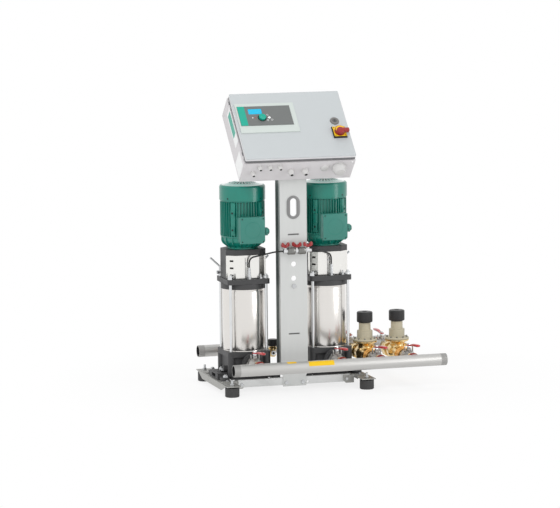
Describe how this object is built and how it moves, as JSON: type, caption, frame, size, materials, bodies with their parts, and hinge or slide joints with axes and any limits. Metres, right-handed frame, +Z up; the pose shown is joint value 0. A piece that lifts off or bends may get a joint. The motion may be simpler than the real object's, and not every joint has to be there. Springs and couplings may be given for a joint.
{
  "type": "pressure maintenance unit",
  "caption": "Pressure maintenance unit: vertical multistage pumps on a sheet metal base between pipe manifolds, with pressure reducing valves and a tilted control cabinet on a column",
  "frame": {"origin": "centre of the footprint, on the floor", "axes": "+X along the manifolds towards the pressure reducing valves, +Y to the back, +Z up"},
  "size_m": [0.789, 0.5122, 1.0347],
  "materials": {
    "zinc": "galvanised sheet",
    "rail_steel": "galvanised sheet, dull",
    "fastener": "zinc plated",
    "rubber_black": "matt",
    "cast_grey": "dark grey paint over cast iron",
    "sleeve_steel": "polished stainless",
    "pipe_steel": "stainless pipe",
    "teal": "teal paint",
    "teal_light": "teal paint, flat",
    "red": "red coating",
    "nickel": "nickel plated brass",
    "brass": "cast brass",
    "cream": "cream paint",
    "black_plastic": "matt",
    "grey_plastic": "matt",
    "cabinet_paint": "light grey paint, fine texture",
    "pale_plastic": "satin",
    "panel_grey": "satin",
    "teal_plastic": "satin",
    "yellow_plastic": "satin",
    "inner_steel": "turned and stamped steel",
    "gear_plastic": "moulded"
  },
  "bodies": {
    "frame": {"beam_brackets": "zinc", "cabinet_body": "cabinet_paint", "cable_glands": "pale_plastic", "column": "zinc", "control_gear": "gear_plastic", "coupling_guards": "sleeve_steel", "drain_valve_body": "brass", "fan_covers": "teal", "frame_bolts": "fastener", "front_beam": "zinc", "front_manifold": "pipe_steel", "head_fittings": "fastener", "hinge_pins": "fastener", "motor_housing_left": "teal", "motor_housing_right": "teal", "mounting_plate": "zinc", "pressure_sensors": "grey_plastic", "prv_bodies": "brass", "prv_bonnets": "cream", "prv_unions": "brass", "prv_valve_bodies": "nickel", "pump_base_left": "cast_grey", "pump_base_right": "cast_grey", "pump_head_left": "cast_grey", "pump_head_right": "cast_grey", "pump_sleeves": "sleeve_steel", "pump_valve_bodies": "nickel", "rear_beam": "zinc", "rear_manifold": "pipe_steel", "rubber_feet": "rubber_black", "sensor_cables": "rubber_black", "sensor_tee": "nickel", "side_rail_left": "rail_steel", "side_rail_right": "rail_steel", "terminal_boxes": "teal_light", "tie_rods": "fastener"},
    "door": {"cabinet_door": "cabinet_paint", "lock_housing": "grey_plastic", "hmi_frame": "pale_plastic", "hmi_panel": "panel_grey", "switch_plate": "yellow_plastic"},
    "hmi_knob": {"hmi_knob": "teal_plastic"},
    "door_lock": {"door_lock": "fastener"},
    "switch_handle": {"switch_handle": "red"},
    "rotor_left": {"rotor_left": "inner_steel"},
    "rotor_right": {"rotor_right": "inner_steel"},
    "prv_cap_left": {"prv_cap_left": "black_plastic"},
    "prv_cap_right": {"prv_cap_right": "black_plastic"},
    "drain_valve_cap": {"drain_valve_cap": "black_plastic"},
    "prv_lever_front_left": {"prv_lever_front_left": "red"},
    "prv_lever_front_right": {"prv_lever_front_right": "red"},
    "prv_lever_rear_left": {"prv_lever_rear_left": "red"},
    "prv_lever_rear_right": {"prv_lever_rear_right": "red"},
    "pump_lever_front_left": {"pump_lever_front_left": "red"},
    "pump_lever_front_right": {"pump_lever_front_right": "red"},
    "pump_lever_rear_left": {"pump_lever_rear_left": "red"},
    "pump_lever_rear_right": {"pump_lever_rear_right": "red"},
    "wing_handle_left": {"wing_handle_left": "red"},
    "wing_handle_middle": {"wing_handle_middle": "red"},
    "wing_handle_right": {"wing_handle_right": "red"}
  },
  "joints": [
    {"name": "door_hinge", "type": "hinge", "parent": "frame", "child": "door", "pos_m": [-0.3225, -0.10344, 0.91557], "axis": [0, -0.7071, -0.7071], "range_deg": [0, 110]},
    {"name": "hmi_knob_turn", "type": "hinge", "parent": "door", "child": "hmi_knob", "pos_m": [-0.2271, -0.10026, 0.95906], "axis": [0, -0.7071, 0.7071], "continuous": true},
    {"name": "door_lock_turn", "type": "hinge", "parent": "door", "child": "door_lock", "pos_m": [0.0305, -0.11086, 0.93714], "axis": [0, -0.7071, 0.7071], "range_deg": [0, 90]},
    {"name": "main_switch_turn", "type": "hinge", "parent": "door", "child": "switch_handle", "pos_m": [0.0355, -0.154, 0.90532], "axis": [0, -0.7071, 0.7071], "range_deg": [0, 90]},
    {"name": "rotor_left_spin", "type": "hinge", "parent": "frame", "child": "rotor_left", "pos_m": [-0.2745, 0, 0.5], "axis": [0, 0, 1], "continuous": true},
    {"name": "rotor_right_spin", "type": "hinge", "parent": "frame", "child": "rotor_right", "pos_m": [0.0255, 0, 0.5], "axis": [0, 0, 1], "continuous": true},
    {"name": "pump_lever_front_left_turn", "type": "hinge", "parent": "frame", "child": "pump_lever_front_left", "pos_m": [-0.2745, -0.136, 0.135], "axis": [0, 0, 1], "range_deg": [0, 90]},
    {"name": "pump_lever_rear_left_turn", "type": "hinge", "parent": "frame", "child": "pump_lever_rear_left", "pos_m": [-0.2745, 0.136, 0.135], "axis": [0, 0, 1], "range_deg": [0, 90]},
    {"name": "pump_lever_front_right_turn", "type": "hinge", "parent": "frame", "child": "pump_lever_front_right", "pos_m": [0.0255, -0.136, 0.135], "axis": [0, 0, 1], "range_deg": [0, 90]},
    {"name": "pump_lever_rear_right_turn", "type": "hinge", "parent": "frame", "child": "pump_lever_rear_right", "pos_m": [0.0255, 0.136, 0.135], "axis": [0, 0, 1], "range_deg": [0, 90]},
    {"name": "prv_lever_front_left_turn", "type": "hinge", "parent": "frame", "child": "prv_lever_front_left", "pos_m": [0.1665, -0.15, 0.135], "axis": [0, 0, 1], "range_deg": [0, 90]},
    {"name": "prv_lever_rear_left_turn", "type": "hinge", "parent": "frame", "child": "prv_lever_rear_left", "pos_m": [0.1665, 0.15, 0.135], "axis": [0, 0, 1], "range_deg": [0, 90]},
    {"name": "prv_lever_front_right_turn", "type": "hinge", "parent": "frame", "child": "prv_lever_front_right", "pos_m": [0.2865, -0.15, 0.135], "axis": [0, 0, 1], "range_deg": [0, 90]},
    {"name": "prv_lever_rear_right_turn", "type": "hinge", "parent": "frame", "child": "prv_lever_rear_right", "pos_m": [0.2865, 0.15, 0.135], "axis": [0, 0, 1], "range_deg": [0, 90]},
    {"name": "wing_left_turn", "type": "hinge", "parent": "frame", "child": "wing_handle_left", "pos_m": [-0.162, -0.145, 0.51], "axis": [0, 0, 1], "range_deg": [0, 90]},
    {"name": "wing_middle_turn", "type": "hinge", "parent": "frame", "child": "wing_handle_middle", "pos_m": [-0.121, -0.145, 0.51], "axis": [0, 0, 1], "range_deg": [0, 90]},
    {"name": "wing_right_turn", "type": "hinge", "parent": "frame", "child": "wing_handle_right", "pos_m": [-0.0805, -0.145, 0.51], "axis": [0, 0, 1], "range_deg": [0, 90]},
    {"name": "prv_cap_left_turn", "type": "hinge", "parent": "frame", "child": "prv_cap_left", "pos_m": [0.1665, -0.02, 0.22], "axis": [0, 0, 1], "range_deg": [-360, 360]},
    {"name": "prv_cap_right_turn", "type": "hinge", "parent": "frame", "child": "prv_cap_right", "pos_m": [0.2865, -0.02, 0.22], "axis": [0, 0, 1], "range_deg": [-360, 360]},
    {"name": "drain_cap_turn", "type": "hinge", "parent": "frame", "child": "drain_valve_cap", "pos_m": [-0.1245, 0.15, 0.13], "axis": [0, 0, 1], "range_deg": [0, 270]}
  ]
}
